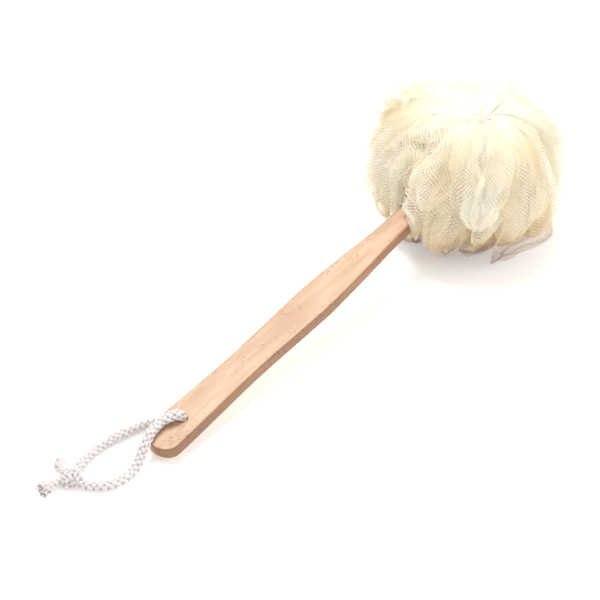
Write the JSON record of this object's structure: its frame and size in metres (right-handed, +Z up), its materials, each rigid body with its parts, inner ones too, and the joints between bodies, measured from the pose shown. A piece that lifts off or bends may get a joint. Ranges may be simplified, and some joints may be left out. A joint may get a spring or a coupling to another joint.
{
  "type": "long-handled bath scrubber",
  "caption": "Long flat wooden handle with a gathered net pouf tied to its head and a cotton hanging loop knotted through its butt.",
  "frame": {"origin": "under the middle of the scrubber on the surface it lies on, measured without its cord", "axes": "+X along the handle towards the pouf, +Z up from the surface it lies on"},
  "size_m": [0.5008, 0.1518, 0.1254],
  "materials": {
    "beech": "fine-sanded, thin matt varnish",
    "netting": "soft translucent knitted plastic net",
    "cotton": "matt twisted cotton rope",
    "nylon": "thin braided cord"
  },
  "bodies": {
    "scrubber": {"handle": "beech", "tie_cord": "nylon", "tie_knot": "nylon", "net_tube_1": "netting", "net_tube_2": "netting", "net_tube_3": "netting", "net_tube_4": "netting", "net_tube_5": "netting", "net_tube_6": "netting"},
    "hanging_loop": {"hanging_cord_upper": "cotton", "hanging_cord_lower": "cotton", "hanging_cord_knot": "cotton", "hanging_cord_tail_long": "cotton", "hanging_cord_tail_short": "cotton"}
  },
  "joints": [
    {"name": "loop_swing", "type": "hinge", "parent": "scrubber", "child": "hanging_loop", "pos_m": [-0.18078, 0, 0.014], "axis": [-0.1607, 0, 0.987], "range_deg": [-75, 105]}
  ]
}
